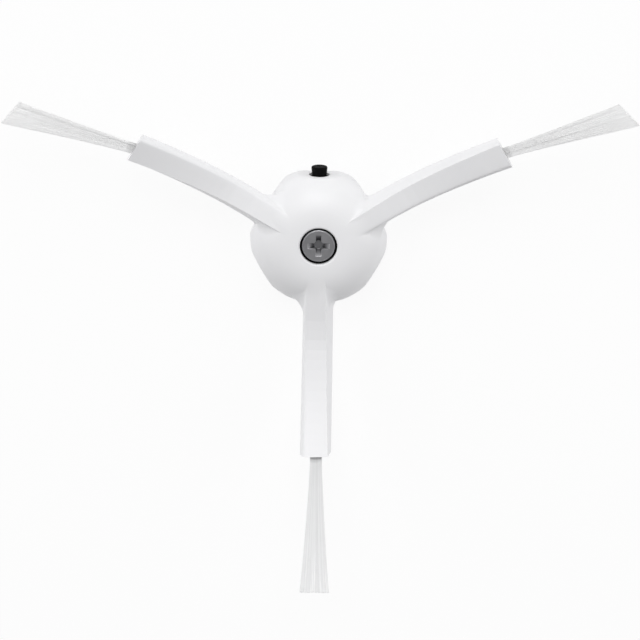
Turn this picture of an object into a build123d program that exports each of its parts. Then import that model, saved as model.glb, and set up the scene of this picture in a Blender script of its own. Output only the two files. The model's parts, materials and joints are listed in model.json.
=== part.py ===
from build123d import *
from math import atan, copysign, cos, degrees, pi, radians, sin
import os

# A robot vacuum's side brush, lying on its hub's back rim with the screw head up.
# Millimetres. The origin is on the hub's axis, in the plane of the back rim.

# Hub moulding
hub_radius = 15.5          # at the waist, where the hub is widest
hub_height = 11.8          # back rim to the crown
dome_rise = 8.4            # waist to the crown
foot_inset = 0.2           # the skirt draws in by this much from waist to rim
crown_ring = 0.95          # flat ring round the screw's counterbore
hub_wall = 1.8             # dome and skirt, at the least
roof_angles = (24, 55)     # bends in the hollow's roof, degrees round the dome's curve
flat_cut = 0.8             # depth of the flats between the arms, from the waist
flat_blend = 2.5           # rounding between a flat and the dome
arm_flat_cut = 1.54        # depth of the sloped flat under each arm, at the waist
arm_flat_draft = 11.0      # degrees by which that flat leans outwards
foot_edge = 0.3            # chamfer of the rim's outer edge
crown_edge = 0.3           # chamfer of the counterbore's mouth
rib_thickness = 1.4        # webs from the drive boss to the skirt, one under each arm

# Drive end
drive_flats = 7.0          # hexagon across flats
drive_depth = 5.6          # from the boss face
boss_wall = 1.6            # round the hexagon's corners
boss_setback = 0.5         # boss face behind the rim

# Arms
arm_azimuths = {"right": 30, "left": 150, "front": 270}
arm_bury = 1.0             # first section, buried in the dome, from the crown's flat ring
arm_reach = 47.4           # hub axis to the arm's end face
arm_low_run = 6.5          # waist to where the top face is lowest
arm_drop = 2.0             # top face at that point, below the crown
arm_root_rise = 1.65       # climb from there back to the first section
arm_tip_rise = 9.2         # climb from there to the end
arm_tip_curl = 1.6         # power of that climb: 1 is a straight ramp
arm_lead = (1.75, 2.5)     # centre line to the crisp leading edge of the top face: root, tip
arm_trail = (2.7, 3.15)    # centre line to its trailing edge
arm_foot_width = (6.6, 7.1)       # across the bottom face
arm_thickness = (3.7, 3.6)        # upright
arm_twist = (8.0, -4.0)    # degrees, raising the leading edge
arm_squareness = 7.0       # power of the section's rounded outline: 2 is an ellipse
arm_root_run = 2.5         # the arm runs straight from its first section to this far from the waist
arm_sections = 14          # from there to the end
arm_rounding = (255, 225, 195, 165, 135, 105)     # points of the rounded trailing side, degrees
arm_blend = 1.6            # fillet where an arm grows out of the dome, round its trailing side and foot

# Bristle tufts
tuft_lean = {"right": -3.7, "left": 5.9, "front": 0.0}      # sideways droop, degrees
tuft_trim = {"right": 18.0, "left": -18.0, "front": 0.0}    # slant of the cut ends, degrees
tuft_slope = 26.0          # climb of the tuft, degrees
tuft_length = 31.4         # arm's end face to the cut
filament_diameter = 0.24
filament_columns = 9
filament_rows = 3
filament_pitch = (0.27, 0.3)      # across and through the butt
tuft_spread = (2.65, 1.2)  # growth of those pitches at the cut
butt_margin = 0.1          # fused butt beyond the outer filaments
butt_depth = 4.5           # in the arm
butt_bite = 0.6            # filaments run this far into the butt
socket_clearance = 0.05

# Screw and its rubber cup
screw_diameter = 4.0
screw_length = 8.0         # under the head
head_diameter = 7.7
head_height = 2.2
head_edge = 0.3
head_sink = 0.8            # head face below the crown
recess_span = 4.9          # cross recess, wing tip to wing tip
recess_width = 1.1
recess_floor = 2.0         # wing tip to wing tip at the bottom
recess_depth = 1.5
screw_tip = 0.5            # chamfer at the thread's end
screw_clearance = 0.15     # radial, in the hub's bore and in the cup
cup_wall = 0.32            # rubber round the head
cup_floor = 0.8            # rubber under the head
cup_lip = 0.25             # cup edge below the head face
cup_clearance = 0.04       # radial, to the head and to the counterbore

# Rubber plug in the flat at +Y
plug_height = 3.6          # axis above the rim
plug_hole = 4.7            # diameter
plug_sink = 0.5            # shoulder below the flat
plug_flange = (5.0, 1.0)   # diameter and thickness, inside the skirt
plug_stem = (3.2, 3.7)     # diameter at the shoulder and at the outer end
plug_reach = 1.9           # stem end beyond the flat
plug_edge = 0.3
plug_clearance = 0.05

head_face = hub_height - head_sink
seat_height = head_face - head_height - cup_floor
counterbore_radius = head_diameter / 2 + cup_wall + 2 * cup_clearance
waist_height = hub_height - dome_rise
crown_radius = counterbore_radius + crown_ring
flat_distance = hub_radius - flat_cut
arm_flat_distance = hub_radius - arm_flat_cut
arm_start = crown_radius + arm_bury
arm_root_end = hub_radius + arm_root_run
arm_low_point = hub_radius + arm_low_run
arm_low_height = hub_height - arm_drop
boss_radius = drive_flats / 2 / cos(pi / 6) + boss_wall
butt_width = filament_pitch[0] * (filament_columns - 1) + filament_diameter + 2 * butt_margin
butt_corner = filament_diameter / 2 + butt_margin
butt_thickness = filament_pitch[1] * (filament_rows - 1) + filament_diameter + 2 * butt_margin


def between(pair, share):
    return pair[0] + (pair[1] - pair[0]) * share


def arm_top(radius):
    """Height and slope angle of an arm's top face at a distance from the hub's axis."""
    run = radius - arm_low_point
    span = arm_reach - arm_low_point if run > 0 else arm_low_point - arm_start
    rise, power = (arm_tip_rise, arm_tip_curl) if run > 0 else (arm_root_rise, 2)
    share = abs(run) / span
    slope = power * rise / span * share ** (power - 1)
    return arm_low_height + rise * share ** power, degrees(atan(slope if run > 0 else -slope))


def arm_directions(azimuth, slope=0):
    """Unit vectors along an arm that climbs by a slope, and across it."""
    turn, climb = radians(azimuth), radians(slope)
    along = Vector(cos(turn) * cos(climb), sin(turn) * cos(climb), sin(climb))
    return along, Vector(-sin(turn), cos(turn), 0)


def arm_plane(azimuth, radius):
    """Upright plane across an arm: x across it, y up, centred in its thickness."""
    share = (radius - arm_start) / (arm_reach - arm_start)
    outward, across = arm_directions(azimuth)
    up = Vector(0, 0, 1)
    twist = radians(between(arm_twist, share))
    centre = outward * radius + up * (arm_top(radius)[0] - between(arm_thickness, share) / 2)
    return Plane(centre, x_dir=across * cos(twist) + up * sin(twist), z_dir=outward)


def arm_outline(share):
    """Points round an arm's section from its lower leading corner, by the trailing side, to the upper one."""
    half, foot = between(arm_thickness, share) / 2, between(arm_foot_width, share) / 2
    points = [(foot, -half), (0, -half)]
    for angle in arm_rounding:
        level = copysign(abs(sin(radians(angle))) ** (2 / arm_squareness), sin(radians(angle)))
        side = abs(cos(radians(angle))) ** (2 / arm_squareness)
        points.append((-side * between((foot, between(arm_trail, share)), (level + 1) / 2), level * half))
    return points + [(0, half), (between(arm_lead, share), half)]


def lead_offset(point):
    """How far a point lies to the leading side of the nearest arm's centre line."""
    nearest = max(map(arm_directions, arm_azimuths.values()), key=lambda pair: point.dot(pair[0]))
    return point.dot(nearest[1])


def hub_shape(inset):
    """Dome and skirt with flats between and under the arms; the hollow inside has a faceted roof."""
    across = hub_radius - crown_radius - inset
    rise = dome_rise - inset
    with BuildPart() as shape:
        with BuildSketch(Plane.XZ):
            with BuildLine():
                waist = (crown_radius + across, waist_height)
                crown = (crown_radius, waist_height + rise)
                foot = (waist[0] - foot_inset, 0)
                if inset:
                    turns = [radians(angle) for angle in roof_angles]
                    bends = [(crown_radius + across * cos(t), waist_height + rise * sin(t)) for t in turns]
                    Polyline(foot, waist, *bends, crown)
                else:
                    TangentArc(waist, foot, tangent=(0, -1))
                    EllipticalCenterArc((crown_radius, waist_height), across, rise, arc_size=90)
                Polyline(crown, (0, crown[1]), (0, 0), foot)
            make_face()
        revolve(axis=Axis.Z)
        with BuildSketch():
            RegularPolygon(flat_distance - inset, 3, major_radius=False, rotation=-90)
        extrude(amount=hub_height, mode=Mode.INTERSECT)
        for azimuth in arm_azimuths.values():
            outward = arm_directions(azimuth)[0]
            normal = arm_directions(azimuth, -arm_flat_draft)[0]
            middle = outward * arm_flat_distance + Vector(0, 0, waist_height)
            side = Plane(middle - normal * inset, z_dir=normal)
            split(bisect_by=side, keep=Keep.BOTTOM)
    return shape.part


def tuft_butt(azimuth, margin):
    """Rounded slot of a tuft's fused butt on the arm's end face."""
    with BuildSketch(arm_plane(azimuth, arm_reach)) as slot:
        RectangleRounded(
            butt_width + 2 * margin,
            butt_thickness + 2 * margin,
            butt_corner + margin,
        )
    return slot.sketch


with BuildPart() as arms:
    for azimuth in arm_azimuths.values():
        for i in range(arm_sections + 1):
            radius = between((arm_root_end, arm_reach), (i - 1) / (arm_sections - 1)) if i else arm_start
            share = (radius - arm_start) / (arm_reach - arm_start)
            with BuildSketch(arm_plane(azimuth, radius)):
                with BuildLine():
                    skin = Spline(*arm_outline(share), tangents=[(-1, 0), (1, 0)])
                    Line(skin @ 1, skin @ 0)
                make_face()
        loft(ruled=True)

with BuildPart() as hollow:
    add(hub_shape(hub_wall))
    with BuildSketch(Plane.XY.offset(boss_setback)):
        Circle(boss_radius)
        for azimuth in arm_azimuths.values():
            with Locations(Rotation(0, 0, azimuth)):
                Rectangle(hub_radius, rib_thickness, align=(Align.MIN, Align.CENTER))
    extrude(amount=hub_height, mode=Mode.SUBTRACT)

with BuildPart() as hub:
    add(hub_shape(0))
    flats = hub.faces().filter_by(GeomType.PLANE).filter_by(lambda f: abs(f.normal_at().Z) < 0.5)
    fillet(flats.edges().filter_by(lambda e: e.center().Z > 0.1), flat_blend)
    add(arms.part)
    wraps = hub.edges(Select.NEW).filter_by(lambda e: lead_offset(e.center()) < arm_lead[0])
    fillet(wraps, arm_blend)
    chamfer(hub.faces().sort_by(Axis.Z)[0].edges(), foot_edge)
    add(hollow.part, mode=Mode.SUBTRACT)
    with BuildSketch(Plane.XY.offset(boss_setback)):
        RegularPolygon(drive_flats / 2, 6, major_radius=False)
    extrude(amount=drive_depth, mode=Mode.SUBTRACT)
    with Locations((0, 0, hub_height)):
        CounterBoreHole(screw_diameter / 2 + screw_clearance, counterbore_radius, hub_height - seat_height)
    mouth = hub.edges().filter_by(GeomType.CIRCLE).group_by(Axis.Z)[-1].sort_by(SortBy.RADIUS)[0]
    chamfer(mouth, crown_edge)
    for azimuth in arm_azimuths.values():
        inward = -arm_directions(azimuth, arm_top(arm_reach)[1])[0]
        socket = tuft_butt(azimuth, socket_clearance)
        extrude(socket, butt_depth + socket_clearance, dir=inward, mode=Mode.SUBTRACT)
    with Locations(Plane((0, flat_distance, plug_height), z_dir=(0, 1, 0))):
        Hole(plug_hole / 2, 2 * hub_wall)

tufts = {}
for name, azimuth in arm_azimuths.items():
    end = arm_plane(azimuth, arm_reach)
    inward = -arm_directions(azimuth, arm_top(arm_reach)[1])[0]
    along, across = arm_directions(azimuth + tuft_lean[name], tuft_slope)
    through = along.cross(across)
    cut = along * cos(radians(tuft_trim[name])) + across * sin(radians(tuft_trim[name]))
    overrun = butt_width * tuft_spread[0]
    with BuildPart() as tuft:
        extrude(tuft_butt(azimuth, 0), butt_depth, dir=inward)
        for i in range(filament_columns):
            for j in range(filament_rows):
                u = filament_pitch[0] * (i - (filament_columns - 1) / 2)
                v = filament_pitch[1] * (j - (filament_rows - 1) / 2)
                root = end.from_local_coords(Vector(u, v, 0)) + inward * butt_bite
                tip = end.origin + along * tuft_length
                tip += across * (u * tuft_spread[0]) + through * (v * tuft_spread[1])
                with BuildSketch(Plane(root, z_dir=tip - root)):
                    RegularPolygon(filament_diameter / 2, 6)
        extrude(amount=butt_bite + tuft_length + overrun)
        split(bisect_by=Plane(end.origin + along * tuft_length, z_dir=cut), keep=Keep.BOTTOM)
    tufts[name] = tuft

with BuildPart() as screw:
    with BuildSketch(Plane.XY.offset(head_face)):
        Circle(head_diameter / 2)
    extrude(amount=-head_height)
    chamfer(screw.edges().group_by(Axis.Z)[-1], head_edge)
    with BuildSketch(Plane.XY.offset(head_face - head_height)):
        Circle(screw_diameter / 2)
    extrude(amount=-screw_length)
    chamfer(screw.edges().group_by(Axis.Z)[0], screw_tip)
    for side in (Plane.XZ, Plane.YZ):
        with BuildSketch(side):
            with BuildLine():
                Polyline(
                    (-recess_span / 2, head_face),
                    (recess_span / 2, head_face),
                    (recess_floor / 2, head_face - recess_depth),
                    (-recess_floor / 2, head_face - recess_depth),
                    close=True,
                )
            make_face()
        extrude(amount=recess_width / 2, both=True, mode=Mode.SUBTRACT)

with BuildPart() as cup:
    with BuildSketch(Plane.XZ):
        with BuildLine():
            bore = screw_diameter / 2 + screw_clearance
            inner = head_diameter / 2 + cup_clearance
            Polyline(
                (bore, seat_height),
                (inner + cup_wall, seat_height),
                (inner + cup_wall, head_face - cup_lip),
                (inner, head_face - cup_lip),
                (inner, seat_height + cup_floor),
                (bore, seat_height + cup_floor),
                close=True,
            )
        make_face()
    revolve(axis=Axis.Z)

with BuildPart() as plug:
    with BuildSketch(Plane((0, 0, plug_height), x_dir=(0, 1, 0), z_dir=(1, 0, 0))):
        with BuildLine():
            inside = flat_distance - hub_wall
            shoulder = flat_distance - plug_sink
            neck = plug_hole / 2 - plug_clearance
            Polyline(
                (inside - plug_flange[1], 0),
                (inside - plug_flange[1], plug_flange[0] / 2),
                (inside, plug_flange[0] / 2),
                (inside, neck),
                (shoulder, neck),
                (shoulder, plug_stem[0] / 2),
                (flat_distance + plug_reach, plug_stem[1] / 2),
                (flat_distance + plug_reach, 0),
                close=True,
            )
        make_face()
    revolve(axis=Axis((0, 0, plug_height), (0, 1, 0)))
    chamfer(plug.edges().filter_by(GeomType.CIRCLE).group_by(Axis.Y)[-1], plug_edge)

pieces = {"hub_and_arms": hub, "fixing_screw": screw, "screw_cup": cup, "hub_plug": plug}
pieces.update({f"bristle_tuft_{name}": tuft for name, tuft in tufts.items()})
os.makedirs("parts", exist_ok=True)
for name, piece in pieces.items():
    piece.part.label = name
    export_step(piece.part, f"parts/{name}.step")
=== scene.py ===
import json
import math

import bpy
import numpy as np
from mathutils import Matrix, Vector


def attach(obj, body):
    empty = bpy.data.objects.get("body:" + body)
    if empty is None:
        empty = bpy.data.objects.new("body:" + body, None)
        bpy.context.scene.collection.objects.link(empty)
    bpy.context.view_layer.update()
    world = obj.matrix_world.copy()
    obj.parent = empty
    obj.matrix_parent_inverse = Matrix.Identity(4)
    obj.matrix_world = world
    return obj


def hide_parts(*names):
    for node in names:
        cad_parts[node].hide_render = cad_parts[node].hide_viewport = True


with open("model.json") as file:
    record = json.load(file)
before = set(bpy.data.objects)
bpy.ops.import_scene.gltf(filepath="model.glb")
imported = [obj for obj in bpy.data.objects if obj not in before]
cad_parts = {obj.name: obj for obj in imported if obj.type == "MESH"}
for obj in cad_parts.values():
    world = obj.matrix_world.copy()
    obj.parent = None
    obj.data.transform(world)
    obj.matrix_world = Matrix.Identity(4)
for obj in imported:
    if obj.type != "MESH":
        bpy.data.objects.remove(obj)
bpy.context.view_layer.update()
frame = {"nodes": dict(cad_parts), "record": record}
mm = 0.001
print("frame loaded:", sorted(frame["nodes"]))


# A socket of a shader tree: expressions on it add Math nodes, node() adds any other.
class Field:
    def __init__(self, tree, socket):
        self.tree, self.socket = tree, socket

    def node(self, kind, settings=None, sockets=None, output=0):
        made = self.tree.nodes.new(kind)
        for key, value in (settings or {}).items():
            setattr(made, key, value)
        for key, value in (sockets or {}).items():
            if isinstance(value, Field):
                self.tree.links.new(value.socket, made.inputs[key])
            else:
                made.inputs[key].default_value = value
        return Field(self.tree, made.outputs[output])

    def maths(self, operation, first, second=0.0):
        return self.node("ShaderNodeMath", {"operation": operation}, {0: first, 1: second})

    def __add__(self, other):
        return self.maths("ADD", self, other)

    def __radd__(self, other):
        return self.maths("ADD", other, self)

    def __sub__(self, other):
        return self.maths("SUBTRACT", self, other)

    def __rsub__(self, other):
        return self.maths("SUBTRACT", other, self)

    def __mul__(self, other):
        return self.maths("MULTIPLY", self, other)

    def __rmul__(self, other):
        return self.maths("MULTIPLY", other, self)

    def __truediv__(self, other):
        return self.maths("DIVIDE", self, other)

    def __rtruediv__(self, other):
        return self.maths("DIVIDE", other, self)


# An empty material, its Principled shader and a Field to start expressions from.
def newFinish(name):
    finish = bpy.data.materials.new(name)
    finish.use_nodes = True
    tree = finish.node_tree
    shader = tree.nodes["Principled BSDF"]
    place = Field(tree, tree.nodes.new("ShaderNodeTexCoord").outputs["Object"])
    return finish, tree, shader, place


def grain(place, scale, detail=2.0):
    return place.node("ShaderNodeTexNoise", {}, {"Vector": place, "Scale": scale, "Detail": detail})


# Mix of two colours, each a triple or a Field.
def tint(place, share, low, high):
    low, high = (end if isinstance(end, Field) else (*end, 1.0) for end in (low, high))
    return place.node("ShaderNodeMix", {"data_type": "RGBA"}, {0: share, 6: low, 7: high}, output=2)


def bump(place, height, strength, depth):
    sockets = {"Strength": strength, "Distance": depth * mm, "Height": height}
    return place.node("ShaderNodeBump", {}, sockets)


def feed(tree, shader, **fields):
    for key, field in fields.items():
        tree.links.new(field.socket, shader.inputs[key.replace("_", " ")])


# Puts a mix of two shaders on the material's output.
def cover(tree, place, share, first, second):
    mixed = place.node("ShaderNodeMixShader", {}, {0: share, 1: first, 2: second})
    tree.links.new(mixed.socket, tree.nodes["Material Output"].inputs["Surface"])


# White plastic: faint cloudiness in the tint, satin roughness, a fine moulded grain.
plasticLook = {
    "low": (0.845, 0.845, 0.855), "high": (0.885, 0.885, 0.895), "clouds": 90.0,
    "rough": 0.36, "roughSpread": 0.1, "ior": 1.47,
    "grain": 2600.0, "grainDetail": 1.0, "grainStrength": 0.25, "grainDepth": 0.012,
}


def whitePlastic():
    look = plasticLook
    finish, tree, shader, place = newFinish("whitePlastic")
    cloud = grain(place, look["clouds"])
    fine = grain(place, look["grain"], look["grainDetail"])
    feed(
        tree, shader,
        Base_Color=tint(place, cloud, look["low"], look["high"]),
        Roughness=look["rough"] + look["roughSpread"] * cloud,
        Normal=bump(place, fine, look["grainStrength"], look["grainDepth"]),
    )
    shader.inputs["IOR"].default_value = look["ior"]
    return finish


# Steel of the screw: turned rings about the hub's axis, read from the distance to it. The recess
# has painted shade: its colour darkens with depth below the face, and near the axis only part way.
steelLook = {
    "low": (0.42, 0.42, 0.43), "high": (0.58, 0.58, 0.595),
    "specks": 700.0, "speckShare": 0.6, "rough": 0.34, "roughSpread": 0.12,
    "ringPitch": 0.22, "ringShare": 0.4, "ringStrength": 0.12, "ringDepth": 0.01,
    # Colour of the painted shade in the recess, and the heights and radii that set how far it reaches.
    "recess": (0.10, 0.10, 0.105), "recessTop": 10.85, "recessDepth": 1.2,
    "shadeEaseStart": 0.45, "shadeEaseEnd": 1.25, "middleShadeShare": 0.45,
}


def turnedSteel():
    look = steelLook
    finish, tree, shader, place = newFinish("turnedSteel")
    level = {0: place, 1: (1.0, 1.0, 0.0)}
    flat = place.node("ShaderNodeVectorMath", {"operation": "MULTIPLY"}, level)
    reach = flat.node("ShaderNodeVectorMath", {"operation": "LENGTH"}, {0: flat}, output=1)
    rings = reach.maths("SINE", reach * (2 * math.pi / (look["ringPitch"] * mm))) * 0.5 + 0.5
    speck = grain(place, look["specks"])
    height = place.node("ShaderNodeSeparateXYZ", {}, {0: place}, output=2)
    # Painted shade in the recess: darker with depth below the face, less of it near the axis.
    sunk = (look["recessTop"] * mm - height) / (look["recessDepth"] * mm)
    outer = (reach - look["shadeEaseStart"] * mm) / ((look["shadeEaseEnd"] - look["shadeEaseStart"]) * mm)
    shadeByReach = place.node("ShaderNodeClamp", {}, {"Value": outer, "Min": look["middleShadeShare"]})
    recessShadeMask = place.node("ShaderNodeClamp", {}, {"Value": sunk}) * shadeByReach
    worn = look["speckShare"] * speck + look["ringShare"] * rings
    face = tint(place, worn, look["low"], look["high"])
    feed(
        tree, shader,
        Base_Color=tint(place, recessShadeMask, face, look["recess"]),
        Roughness=look["rough"] + look["roughSpread"] * speck,
        Normal=bump(place, rings, look["ringStrength"], look["ringDepth"]),
    )
    shader.inputs["Metallic"].default_value = 1.0
    return finish


# Black rubber: nearly black, dusty in patches, dull.
rubberLook = {
    "low": (0.002, 0.002, 0.0022), "high": (0.005, 0.005, 0.0053), "shine": 0.05,
    "dust": 500.0, "dustStrength": 0.2, "dustDepth": 0.02, "rough": 0.55, "roughSpread": 0.2,
}


def blackRubber():
    look = rubberLook
    finish, tree, shader, place = newFinish("blackRubber")
    dust = grain(place, look["dust"])
    feed(
        tree, shader,
        Base_Color=tint(place, dust, look["low"], look["high"]),
        Roughness=look["rough"] + look["roughSpread"] * dust,
        Normal=bump(place, dust, look["dustStrength"], look["dustDepth"]),
    )
    shader.inputs["Specular IOR Level"].default_value = look["shine"]
    return finish


# Nylon filament: clear-white, each filament a little different, with painted shadow near the butt.
# Light passes on through the filaments, so the bundle shades itself and the floor only a little.
nylonLook = {
    "low": (0.50, 0.505, 0.51), "high": (0.99, 0.99, 0.99),
    "rough": 0.3, "roughSpread": 0.15, "ior": 1.53,
    "glow": 0.5, "glowTone": (0.98, 0.98, 0.98, 1.0), "clear": 0.15, "passes": 0.93,
}


def nylon():
    look = nylonLook
    finish, tree, shader, place = newFinish("nylon")
    # The shade attribute carries a random tone per filament, painted light and shade per fan and a
    # painted shadow near the butt.
    own = place.node("ShaderNodeAttribute", {"attribute_name": "shade"}, {}, output="Fac")
    feed(
        tree, shader,
        Base_Color=tint(place, own, look["low"], look["high"]),
        Roughness=look["rough"] + look["roughSpread"] * own,
    )
    shader.inputs["IOR"].default_value = look["ior"]
    glow = place.node("ShaderNodeBsdfTranslucent", {}, {"Color": look["glowTone"]})
    solid = Field(tree, shader.outputs[0])
    body = place.node("ShaderNodeMixShader", {}, {0: look["glow"], 1: solid, 2: glow})
    clear = place.node("ShaderNodeBsdfTransparent")
    shading = place.node("ShaderNodeLightPath", output="Is Shadow Ray")
    cover(tree, place, look["clear"] + (look["passes"] - look["clear"]) * shading, body, clear)
    return finish


finishes = {
    "white_plastic": whitePlastic(),
    "screw_steel": turnedSteel(),
    "black_rubber": blackRubber(),
    "bristles": nylon(),
}
nodeFinish = {sub["node"]: sub["material_slot"] for sub in frame["record"]["subparts"]}
for name, obj in frame["nodes"].items():
    obj.data.materials.clear()
    obj.data.materials.append(finishes[nodeFinish[name]])
print("finishes made:", ", ".join(finishes))


# Puts arrays of points and faces into a new object at the origin, riding on the part.
def newPiece(name, points, faces, slot, attributes=None):
    mesh = bpy.data.meshes.new(name)
    corners = [corner for batch in faces for corner in batch.tolist()]
    mesh.from_pydata((points * mm).tolist(), [], corners)
    for key, values in (attributes or {}).items():
        layer = mesh.attributes.new(key, "FLOAT", "POINT")
        layer.data.foreach_set("value", values.astype(np.float32))
    mesh.polygons.foreach_set("use_smooth", np.ones(len(mesh.polygons), bool))
    mesh.update()
    mesh.materials.append(finishes[slot])
    piece = bpy.data.objects.new(name, mesh)
    bpy.context.scene.collection.objects.link(piece)
    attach(piece, "root")
    return piece


# Quads between the rows of a grid whose columns run round an axis. A loop also joins its last row
# to its first.
def roundFaces(rows, columns, loop=False):
    row = np.arange(rows if loop else rows - 1)[:, None]
    column = np.arange(columns)[None, :]
    after, beside = (row + 1) % rows, (column + 1) % columns
    corners = [(row, column), (after, column), (after, beside), (row, beside)]
    return np.stack([down * columns + right for down, right in corners], -1).reshape(-1, 4)


# Outline with softened corners: each is a short curve that starts and ends a set way along its two
# sides, and at most a share of a side.
def softOutline(corners, soft, most=0.45, steps=6):
    corners = np.array(corners, float)
    sides = [np.roll(corners, turn, 0) - corners for turn in (1, -1)]
    lengths = [np.linalg.norm(side, axis=1)[:, None] for side in sides]
    way = np.minimum(soft, most * np.minimum(*lengths))
    start, end = ((corners + way * (side / length))[:, None] for side, length in zip(sides, lengths))
    share, middle = np.linspace(0, 1, steps)[None, :, None], corners[:, None]
    curve = (1 - share) ** 2 * start + 2 * share * (1 - share) * middle + share ** 2 * end
    return curve.reshape(-1, 2)


# Outline of radius and height turned round an axis:
# place + height * axis + radius * (cos * first + sin * second).
def turnedGrid(outline, columns, place, axis, first):
    axis, first = np.array(axis, float), np.array(first, float)
    turn = np.linspace(0, 2 * math.pi, columns, endpoint=False)
    rim = np.cos(turn)[:, None] * first + np.sin(turn)[:, None] * np.cross(axis, first)
    return np.array(place) + outline[:, None, 1:] * axis + outline[:, None, :1] * rim


# Screw: a face with a softened rim and a cross recess, and a threaded shank. On the face the height
# drops by the recess's depth, which a wing gives by its tapered end and sides, the deeper wing
# counting. On the shank the radius follows a clipped triangle wave of height over pitch less the turn.
screwLook = {
    "face": 11.0, "headRadius": 3.75, "headHeight": 2.2, "rim": 0.35, "crown": 0.06,
    "wing": 4.9, "wingWidth": 1.25, "wingDepth": 1.5, "endTaper": 0.97, "sideTaper": 0.16,
    "heart": 1.15, "seatGap": 0.15,
    "shankRadius": 2.0, "coreRadius": 1.62, "pitch": 0.7, "crestGain": 1.5, "crestDrop": 0.25,
    "length": 8.0, "tip": 0.6, "tipShare": 0.7,
    "firstRing": 0.03, "columns": 240, "faceRows": 80, "rimRows": 9, "shankRows": 130,
}


def recessDepth(x, y):
    look = screwLook
    depth = (look["heart"] - np.hypot(x, y)) / look["sideTaper"]
    for along, across in ((x, y), (y, x)):
        end = (look["wing"] / 2 - np.abs(along)) / look["endTaper"]
        side = (look["wingWidth"] / 2 - np.abs(across)) / look["sideTaper"]
        depth = np.maximum(depth, np.minimum(end, side))
    return np.clip(depth, 0, look["wingDepth"])


def screwPiece():
    look = screwLook
    radius, rim = look["headRadius"], look["rim"]
    under = look["face"] - look["headHeight"]
    turn = np.linspace(0, 2 * math.pi, look["columns"], endpoint=False)[None, :]
    inner = np.linspace(look["firstRing"], radius - rim, look["faceRows"])
    faceRows = np.stack([inner, look["face"] - look["crown"] * (inner / radius) ** 2], 1)
    bend = np.linspace(0, math.pi / 2, look["rimRows"])[1:]
    edge = look["face"] - look["crown"]
    rimRows = np.stack([radius - rim + rim * np.sin(bend), edge - rim + rim * np.cos(bend)], 1)
    seatRows = np.array([(radius, under), (look["shankRadius"] + look["seatGap"], under)])
    low = under - look["length"]
    heights = np.linspace(under, low, look["shankRows"])
    shankRows = np.stack([np.full_like(heights, look["shankRadius"]), heights], 1)
    outline = np.concatenate([faceRows, rimRows, seatRows, shankRows])
    grid = turnedGrid(outline, look["columns"], (0, 0, 0), (0, 0, 1), (1, 0, 0))
    face = grid[:len(inner)]
    face[..., 2] -= recessDepth(face[..., 0], face[..., 1])
    phase = (heights[:, None] / look["pitch"] - turn / (2 * math.pi)) % 1.0
    wave = 1 - np.abs(2 * phase - 1)
    crest = np.clip(look["crestGain"] * wave - look["crestDrop"], 0, 1)
    thread = look["coreRadius"] + (look["shankRadius"] - look["coreRadius"]) * crest
    taper = np.clip((heights - low) / look["tip"], 0, 1)[:, None]
    thread = thread * (look["tipShare"] + (1 - look["tipShare"]) * taper)
    grid[-len(heights):, :, :2] *= (thread / look["shankRadius"])[..., None]
    rows, columns = grid.shape[:2]
    points = np.concatenate([grid.reshape(-1, 3), [[0, 0, face[0, 0, 2]], [0, 0, low]]])
    column = np.arange(columns)
    beside, last, top = (column + 1) % columns, (rows - 1) * columns, rows * columns
    caps = [
        np.stack([np.full(columns, top), column, beside], 1),
        np.stack([np.full(columns, top + 1), last + beside, last + column], 1),
    ]
    piece = newPiece("crossScrew", points, [roundFaces(rows, columns), *caps], "screw_steel")
    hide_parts("fixing_screw")


screwPiece()

# Rubber cup round the screw's head and rubber stub in the flat, both turned from a softened outline.
cupLook = {
    "bore": 2.15, "outer": 4.21, "inner": 3.78, "seat": 8.0, "floor": 8.8, "lip": 10.75,
    "soft": 0.12, "columns": 160,
}
stubLook = {
    "height": 3.6, "flat": 14.7, "reach": 1.9, "sink": 0.5, "wall": 1.8,
    "endRadius": 1.85, "stemRadius": 1.6, "neckRadius": 2.3, "flangeRadius": 2.5, "flange": 1.0,
    "heart": 0.01, "soft": 0.4, "columns": 96,
}


def rubberPiece(name, look, corners, place, axis, first):
    grid = turnedGrid(softOutline(corners, look["soft"]), look["columns"], place, axis, first)
    walls = roundFaces(*grid.shape[:2], loop=True)
    return newPiece(name, grid.reshape(-1, 3), [walls], "black_rubber")


def cupPiece():
    look = cupLook
    corners = [
        (look["bore"], look["floor"]), (look["inner"], look["floor"]), (look["inner"], look["lip"]),
        (look["outer"], look["lip"]), (look["outer"], look["seat"]), (look["bore"], look["seat"]),
    ]
    piece = rubberPiece("rubberCup", look, corners, (0, 0, 0), (0, 0, 1), (1, 0, 0))
    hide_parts("screw_cup")


def stubPiece():
    look = stubLook
    end, shoulder, inside = look["reach"], -look["sink"], -look["wall"]
    corners = [
        (look["heart"], end), (look["endRadius"], end),
        (look["stemRadius"], shoulder), (look["neckRadius"], shoulder),
        (look["neckRadius"], inside), (look["flangeRadius"], inside),
        (look["flangeRadius"], inside - look["flange"]), (look["heart"], inside - look["flange"]),
    ]
    place = (0, look["flat"], look["height"])
    piece = rubberPiece("rubberStub", look, corners, place, (0, 1, 0), (0, 0, 1))
    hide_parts("hub_plug")


cupPiece()
stubPiece()
print("screw, cup and stub made")


# Bristle tufts. A filament runs from its seat in the butt to the slanted cut. Its place across and
# through the bundle grows with a power of its free run, and it bows by a small amount times
# 4 * run * (1 - run). The filaments lie closer together at the fan's two edges. Each fan's tone is
# painted light and shade, set lighter or darker fan by fan for the light that falls on it, and a
# painted shadow, where given, darkens the bundle near the butt, where the arm's end shades it.
# Shading normals lean to the fan's face, as in a dense bundle.
armEnd = {"reach": 47.4, "height": 19.0, "thickness": 3.6}
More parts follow.
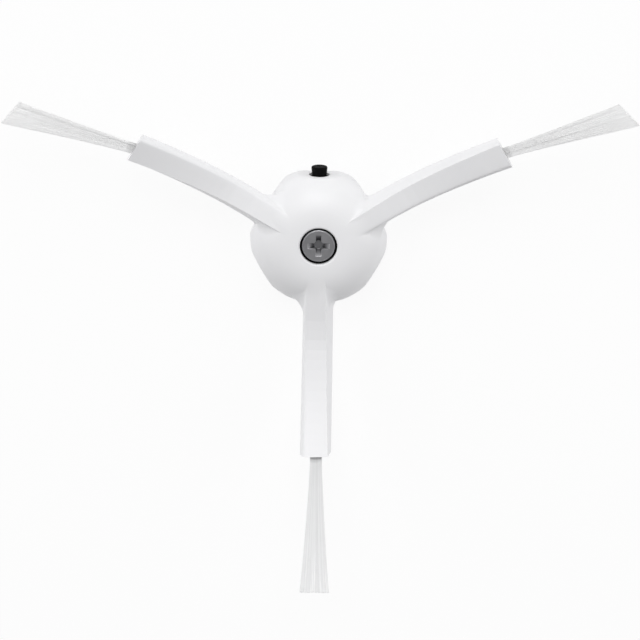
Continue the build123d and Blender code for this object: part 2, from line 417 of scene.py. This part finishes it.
# Each fan's tone is painted light and shade for the light that falls on it; the darkening at a butt is
# a painted shadow.
tufts = {
    "right": {
        "azimuth": 30, "lean": -4.3, "trim": 22.0, "length": 32.2, "root": 2.4, "tip": 6.2,
        "paintedLightTone": 0.98, "rootShadow": 0.0,
    },
    "left": {
        "azimuth": 150, "lean": 6.5, "trim": -20.0, "length": 31.8, "root": 2.4, "tip": 5.9,
        "paintedLightTone": 1.0, "rootShadow": 0.0,
    },
    "front": {
        "azimuth": 270, "lean": 0.0, "trim": 0.0, "length": 31.4, "root": 2.65, "tip": 6.7,
        "paintedLightTone": 0.57, "rootShadow": 0.45,
    },
}
tuftLook = {
    "slope": 26.0, "seat": 2.5, "flare": 1.35, "edges": 0.3, "smooth": 0.9,
    # The painted shadow at the butt fades out within a set way from the arm's end.
    "rootDepth": 0.84, "tipDepth": 0.96, "rootShadowEnd": 2.6, "shadeSpread": 0.15, "shadeRise": 0.1,
    "filaments": 110, "radius": 0.085, "rings": 8, "sides": 6, "seed": 7,
    "bowAcross": 0.0525, "bowThrough": 0.07, "stray": 0.10, "ragged": 0.18,
}


# Unit directions along, across and through a piece that points to an azimuth and climbs by a slope.
def directions(azimuth, slope):
    turn, climb = math.radians(azimuth), math.radians(slope)
    level = math.cos(climb)
    along = np.array([math.cos(turn) * level, math.sin(turn) * level, math.sin(climb)])
    across = np.array([-math.sin(turn), math.cos(turn), 0.0])
    return along, across, np.cross(along, across)


# Way along the fan, its share of the free length, and place across and through, ring by ring.
def filamentPaths(spec, rng):
    look = tuftLook
    count = look["filaments"]
    even = 2 * (rng.permutation(count) + rng.uniform(0, 1, count)) / count - 1
    seatAcross = (1 - look["edges"]) * even + look["edges"] * np.sin(math.pi / 2 * even)
    seatThrough = rng.uniform(-1, 1, count)
    rootHalf, tipHalf = (spec[key] / 2 - look["radius"] for key in ("root", "tip"))
    rootDeep, tipDeep = (look[key] / 2 - look["radius"] for key in ("rootDepth", "tipDepth"))
    endAcross = seatAcross * tipHalf + rng.normal(0, look["stray"], count)
    endAcross = np.clip(endAcross, -tipHalf, tipHalf)
    slant = math.tan(math.radians(spec["trim"]))
    length = spec["length"] - endAcross * slant - rng.uniform(0, look["ragged"], count)
    run = np.linspace(0, 1, look["rings"])[None, :]
    far = run * (length + look["seat"])[:, None] - look["seat"]
    free = np.clip(far / spec["length"], 0, 1)
    spread = free ** look["flare"]
    bow = 4 * free * (1 - free)
    side = (seatAcross * rootHalf)[:, None] * (1 - spread) + endAcross[:, None] * spread
    side = side + bow * rng.normal(0, look["bowAcross"], count)[:, None]
    lift = seatThrough[:, None] * (rootDeep * (1 - spread) + tipDeep * spread)
    lift = lift + bow * rng.normal(0, look["bowThrough"], count)[:, None]
    return far, free, side, lift


def tuftPiece(name, spec, rng):
    look = tuftLook
    count, rings, sides = look["filaments"], look["rings"], look["sides"]
    along, across, through = directions(spec["azimuth"] + spec["lean"], look["slope"])
    outward, _, up = directions(spec["azimuth"], 0.0)
    heart = outward * armEnd["reach"] + up * (armEnd["height"] - armEnd["thickness"] / 2)
    far, free, side, lift = filamentPaths(spec, rng)
    centre = heart + far[..., None] * along + side[..., None] * across + lift[..., None] * through
    turn = np.linspace(0, 2 * math.pi, sides, endpoint=False) + math.pi / sides
    rim = np.cos(turn)[:, None] * across + np.sin(turn)[:, None] * through
    points = centre[:, :, None, :] + look["radius"] * rim
    flat = np.sign(np.sin(turn))[:, None] * through
    facing = np.broadcast_to(look["smooth"] * flat + (1 - look["smooth"]) * rim, points.shape)
    base = (np.arange(count)[:, None, None] * rings + np.arange(rings - 1)[None, :, None]) * sides
    here, after = np.arange(sides), (np.arange(sides) + 1) % sides
    corners = [base + here, base + after, base + after + sides, base + here + sides]
    walls = np.stack(corners, -1).reshape(-1, 4)
    firstRing = (np.arange(count) * rings * sides)[:, None]
    lastRing = firstRing + (rings - 1) * sides
    faces = [walls, lastRing + here, firstRing + here[::-1]]
    # Painted light and shade per fan, a random tone per filament, lighter towards the cut, and a
    # painted shadow near the butt.
    shade = spec["paintedLightTone"] + look["shadeSpread"] * rng.uniform(-1, 1, count)[:, None]
    shade = shade + look["shadeRise"] * (free - 0.5)
    shade = np.clip(shade - spec["rootShadow"] * np.clip(1 - far / look["rootShadowEnd"], 0, 1), 0, 1)
    shade = np.broadcast_to(shade[..., None], (count, rings, sides)).ravel()
    piece = newPiece(f"bristles_{name}", points.reshape(-1, 3), faces, "bristles", {"shade": shade})
    piece.data.normals_split_custom_set_from_vertices(facing.reshape(-1, 3).tolist())
    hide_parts(f"bristle_tuft_{name}")


rng = np.random.default_rng(tuftLook["seed"])
for name, spec in tufts.items():
    tuftPiece(name, spec, rng)
print("bristle tufts made:", len(tufts))


# Soft blends where the arms grow out of the dome. In each level slice the dome is a circle and an
# arm's side a line, and an arc of the blend's radius touches both. The radius is held to the side's
# length outside the dome, eases out towards the blend's top and fades at its foot. The arcs of all
# levels make the blend's face, and a corner inside the plastic closes each slice. On top, in upright
# slices along the arm, a cubic leaves the dome and lands on the arm's top face with their slopes, a
# set way each side of the line where they meet. That way dies out at the arm's two edges.
domeLook = {"crown": 5.2, "across": 10.3, "rise": 8.4, "waist": 3.4}
rootLook = {
    "start": 6.2, "end": 18.0, "share": 11.8 / 41.2, "middles": (9.6, 8.07),
    "lead": (1.75, 2.5), "trail": (2.7, 3.15), "foot": (3.3, 3.55), "half": (1.85, 1.8),
    "twist": (8.0, -4.0), "squareness": 7.0, "shoulder": 0.9, "shareLimit": 0.995,
}
blendLook = {
    "leading": {"side": 1, "radius": 3.4, "reach": 0.85, "low": 7.0, "high": 11.36, "ease": 1.5},
    "trailing": {"side": -1, "radius": 6.5, "reach": 1.3, "low": 6.3, "high": 10.6, "ease": 2.8},
    "top": {
        "way": 3.2, "from": -0.99, "to": 0.95, "fade": 0.8, "rows": 64, "sink": 0.6,
        "search": 7.2, "samples": 600, "tiny": 0.02,
    },
    "levels": 56, "steps": 24, "fade": 1.3, "least": 0.06, "sink": 0.4, "crease": 35.0,
    "rounds": 8, "guess": 0.95, "span": 14.0, "samples": 400, "lookShare": 0.8, "lookLeast": 0.2,
}


def domeHeight(radius):
    share = np.clip((radius - domeLook["crown"]) / domeLook["across"], 0, 1)
    return domeLook["waist"] + domeLook["rise"] * np.sqrt(1 - share ** 2)


# Height over half height, or width over half width, of the section's rounded trailing side.
def rounded(share):
    power = rootLook["squareness"]
    return (1 - np.abs(share) ** power) ** (1 / power)


# Sizes of the arm's section at a radius, between the first and last sections of its straight root.
def rootSection(radius):
    look = rootLook
    spans = [look[key] for key in ("lead", "trail", "foot", "half", "twist")]
    ends = []
    for share, middle in zip((0.0, look["share"]), look["middles"]):
        lead, trail, foot, half, twist = (a + (b - a) * share for a, b in spans)
        ends.append((middle, lead, trail, foot, half, math.radians(twist)))
    run = (radius - look["start"]) / (look["end"] - look["start"])
    return [a + (b - a) * run for a, b in zip(*ends)]


# Place across the arm of its side at a level.
def armSide(radius, level, side):
    middle, lead, trail, foot, half, twist = rootSection(radius)
    limit, edge = rootLook["shareLimit"], lead if side > 0 else trail
    height, place = level - middle, side * foot
    for _ in range(blendLook["rounds"]):
        share = (height * np.cos(twist) - place * np.sin(twist)) / half
        share = np.clip(share, -limit, limit)
        width = foot + (edge - foot) * (share + 1) / 2
        width = width if side > 0 else width * rounded(share)
        place = (side * width - height * np.sin(twist)) / np.cos(twist)
    return place


# Height at which the arm's side ends: at its leading edge or on its rounded trailing shoulder.
def armCrest(radius, side):
    middle, lead, trail, _foot, half, twist = rootSection(radius)
    shoulder = rootLook["shoulder"]
    out, up = (lead, half) if side > 0 else (-shoulder * trail, shoulder * half)
    return middle + np.sin(twist) * out + np.cos(twist) * up


# Place across and height of the arm's top face, for a share of its width: -1 is the trailing edge,
# 1 the leading one.
def armTop(radius, share):
    middle, lead, trail, _foot, half, twist = rootSection(radius)
    out = share * np.where(share > 0, lead, trail)
    up = half * rounded(np.minimum(share, 0))
    place = out * np.cos(twist) - up * np.sin(twist)
    return place, middle + out * np.sin(twist) + up * np.cos(twist)


def topSlices():
    look = blendLook["top"]
    share = np.linspace(look["from"], look["to"], look["rows"])[:, None]
    far = np.linspace(look["search"], rootLook["end"], look["samples"])[None]
    place, height = armTop(far, share)
    over = height - domeHeight(np.hypot(far, place))
    meet = np.array([np.interp(0, row, far[0]) for row in over])[:, None]
    way = look["way"] * np.sqrt(np.clip((1 - np.abs(share)) / look["fade"], 0, 1))
    run = np.linspace(0, 1, blendLook["steps"])[None]
    along = meet - way + 2 * way * run
    place, height = armTop(along, share)
    rim = np.hypot(along[:, :1], place[:, :1])
    start, end, tiny = domeHeight(rim), height[:, -1:], look["tiny"]
    fall = (domeHeight(rim + tiny) - start) / tiny * along[:, :1] / rim
    land = (armTop(along[:, -1:] + tiny, share)[1] - end) / tiny
    top = start * (2 * run ** 3 - 3 * run ** 2 + 1) + end * (3 * run ** 2 - 2 * run ** 3)
    top = top + 2 * way * (fall * (run ** 3 - 2 * run ** 2 + run) + land * (run ** 3 - run ** 2))
    upper = np.stack([along, place, top], -1)
    return np.concatenate([upper, upper[:, ::-1] - np.array([0, 0, look["sink"]])], 1)


def blendSlices(look):
    side = look["side"]
    level = np.linspace(look["low"], look["high"], blendLook["levels"])
    climb = (level - domeLook["waist"]) / domeLook["rise"]
    dome = domeLook["crown"] + domeLook["across"] * np.sqrt(1 - climb ** 2)
    start = blendLook["guess"] * dome
    for _ in range(blendLook["rounds"]):
        place = armSide(start, level, side)
        start = np.sqrt(dome ** 2 - place ** 2)
    far = rootLook["start"] + np.linspace(0, blendLook["span"], blendLook["samples"])
    runOut = np.interp(-level, -armCrest(far, side), far)
    radius = np.minimum(look["radius"], look["reach"] * (runOut - start))
    radius = radius * np.clip((look["high"] - level) / look["ease"], 0, 1)
    radius = radius * np.clip((level - look["low"]) / blendLook["fade"], 0, 1)
    radius = np.maximum(radius, blendLook["least"])
    step = blendLook["lookShare"] * radius + blendLook["lookLeast"]
    lean = (armSide(start + step, level, side) - place) / step
    stretch = np.sqrt(1 + lean ** 2)
    offset = place - lean * start + side * radius * stretch
    reach = np.sqrt(stretch ** 2 * (dome + radius) ** 2 - offset ** 2)
    along = (reach - lean * offset) / stretch ** 2
    hub = np.stack([along, offset + lean * along], 1)
    first = np.arctan2(-hub[:, 1], -hub[:, 0])
    last = np.arctan2(-side / stretch, side * lean / stretch)
    sweep = (last - first + math.pi) % (2 * math.pi) - math.pi
    angle = first[:, None] + sweep[:, None] * np.linspace(0, 1, blendLook["steps"])
    arc = hub[:, None] + radius[:, None, None] * np.stack([np.cos(angle), np.sin(angle)], -1)
    inside = np.stack([start - blendLook["sink"], place - side * blendLook["sink"]], 1)[:, None]
    flat = np.concatenate([arc, inside], 1)
    return np.concatenate([flat, np.broadcast_to(level[:, None, None], (*flat.shape[:2], 1))], -1)


def blendPiece():
    points, faces, count = [], [], 0
    kinds = [
        (blendSlices(blendLook["leading"]), 1),
        (blendSlices(blendLook["trailing"]), -1),
        (topSlices(), -1),
    ]
    for slices, flip in kinds:
        rows, columns = slices.shape[:2]
        ring = np.arange(columns)
        walls = roundFaces(rows, columns)
        ends = [ring[None], (rows - 1) * columns + ring[None, ::-1]]
        for spec in tufts.values():
            outward, across, up = directions(spec["azimuth"], 0.0)
            points.append((slices @ np.stack([outward, across, up])).reshape(-1, 3))
            faces += [(batch + count)[:, ::flip] for batch in (walls, *ends)]
            count += rows * columns
    piece = newPiece("armBlends", np.concatenate(points), faces, "white_plastic")
    piece.data.set_sharp_from_angle(angle=math.radians(blendLook["crease"]))


blendPiece()
print("arm blends made")


# Pale floor that shows white to the camera and still takes the object's shadow.
floorLook = {
    "half": 3000.0, "drop": 0.05, "lift": 0.9,
    "low": (0.93, 0.93, 0.93), "high": (0.94, 0.94, 0.94), "clouds": 3.0,
}


def paleFloor():
    finish, tree, shader, place = newFinish("paleFloor")
    cloud = grain(place, floorLook["clouds"])
    feed(tree, shader, Base_Color=tint(place, cloud, floorLook["low"], floorLook["high"]))
    shader.inputs["Roughness"].default_value = 1.0
    shader.inputs["Specular IOR Level"].default_value = 0.0
    rays = ("Is Camera Ray", "Is Glossy Ray", "Is Transmission Ray")
    looked, mirrored, passed = (place.node("ShaderNodeLightPath", output=ray) for ray in rays)
    seen = looked + mirrored + passed
    glow = place.node("ShaderNodeEmission", {}, {"Color": (1, 1, 1, 1), "Strength": 1.0})
    cover(tree, place, floorLook["lift"] * seen, Field(tree, shader.outputs[0]), glow)
    return finish


half, level = floorLook["half"] * mm, -floorLook["drop"] * mm
floorMesh = bpy.data.meshes.new("floor")
corners = [(-half, -half, level), (half, -half, level), (half, half, level), (-half, half, level)]
floorMesh.from_pydata(corners, [], [(0, 1, 2, 3)])
floorMesh.materials.append(paleFloor())
floor = bpy.data.objects.new("floor", floorMesh)
bpy.context.scene.collection.objects.link(floor)

# Soft light: a key behind the picture's top edge, a fill from each side, an even sky.
lamps = {
    "key": {"place": (-60, 620, 720), "size": 560, "power": 3.85},
    "left": {"place": (-720, 160, 420), "size": 500, "power": 2.6},
    "right": {"place": (720, 160, 420), "size": 500, "power": 2.6},
}
for name, spec in lamps.items():
    lamp = bpy.data.lights.new(name, "AREA")
    lamp.size, lamp.energy = spec["size"] * mm, spec["power"]
    holder = bpy.data.objects.new(name, lamp)
    holder.location = Vector(spec["place"]) * mm
    holder.rotation_euler = (-Vector(spec["place"])).to_track_quat("-Z", "Y").to_euler()
    bpy.context.scene.collection.objects.link(holder)

skyLook = {"Color": (0.985, 0.985, 1.0, 1.0), "Strength": 0.27}
world = bpy.data.worlds.new("evenSky")
world.use_nodes = True
for key, value in skyLook.items():
    world.node_tree.nodes["Background"].inputs[key].default_value = value
bpy.context.scene.world = world
print("floor and lights set")

# Camera: nearly overhead, leaning towards the plug's side, a long lens as in the photograph.
shot = {
    "aim": (0.34, 0, 11.0), "drop": 16.6, "tilt": 17.0, "distance": 898.8, "roll": 0.7,
    "lens": 225.0, "sensor": 36.0, "near": 10.0, "far": 20000.0,
}
tilt, roll = math.radians(shot["tilt"]), math.radians(shot["roll"])
back = Vector((0, math.sin(tilt), math.cos(tilt)))
rise = Vector((0, math.cos(tilt), -math.sin(tilt)))
across = Vector((1, 0, 0))
right = across * math.cos(roll) + rise * math.sin(roll)
upward = rise * math.cos(roll) - across * math.sin(roll)
aim = Vector(shot["aim"]) - upward * shot["drop"]
lens = bpy.data.cameras.new("camera")
lens.lens, lens.sensor_width = shot["lens"], shot["sensor"]
lens.clip_start, lens.clip_end = shot["near"] * mm, shot["far"] * mm
camera = bpy.data.objects.new("camera", lens)
turned = Matrix((right, upward, back)).transposed().to_4x4()
turned.translation = (aim + back * shot["distance"]) * mm
camera.matrix_world = turned
bpy.context.scene.collection.objects.link(camera)
bpy.context.scene.camera = camera
bpy.context.scene.view_settings.view_transform = "Standard"
print("camera set")
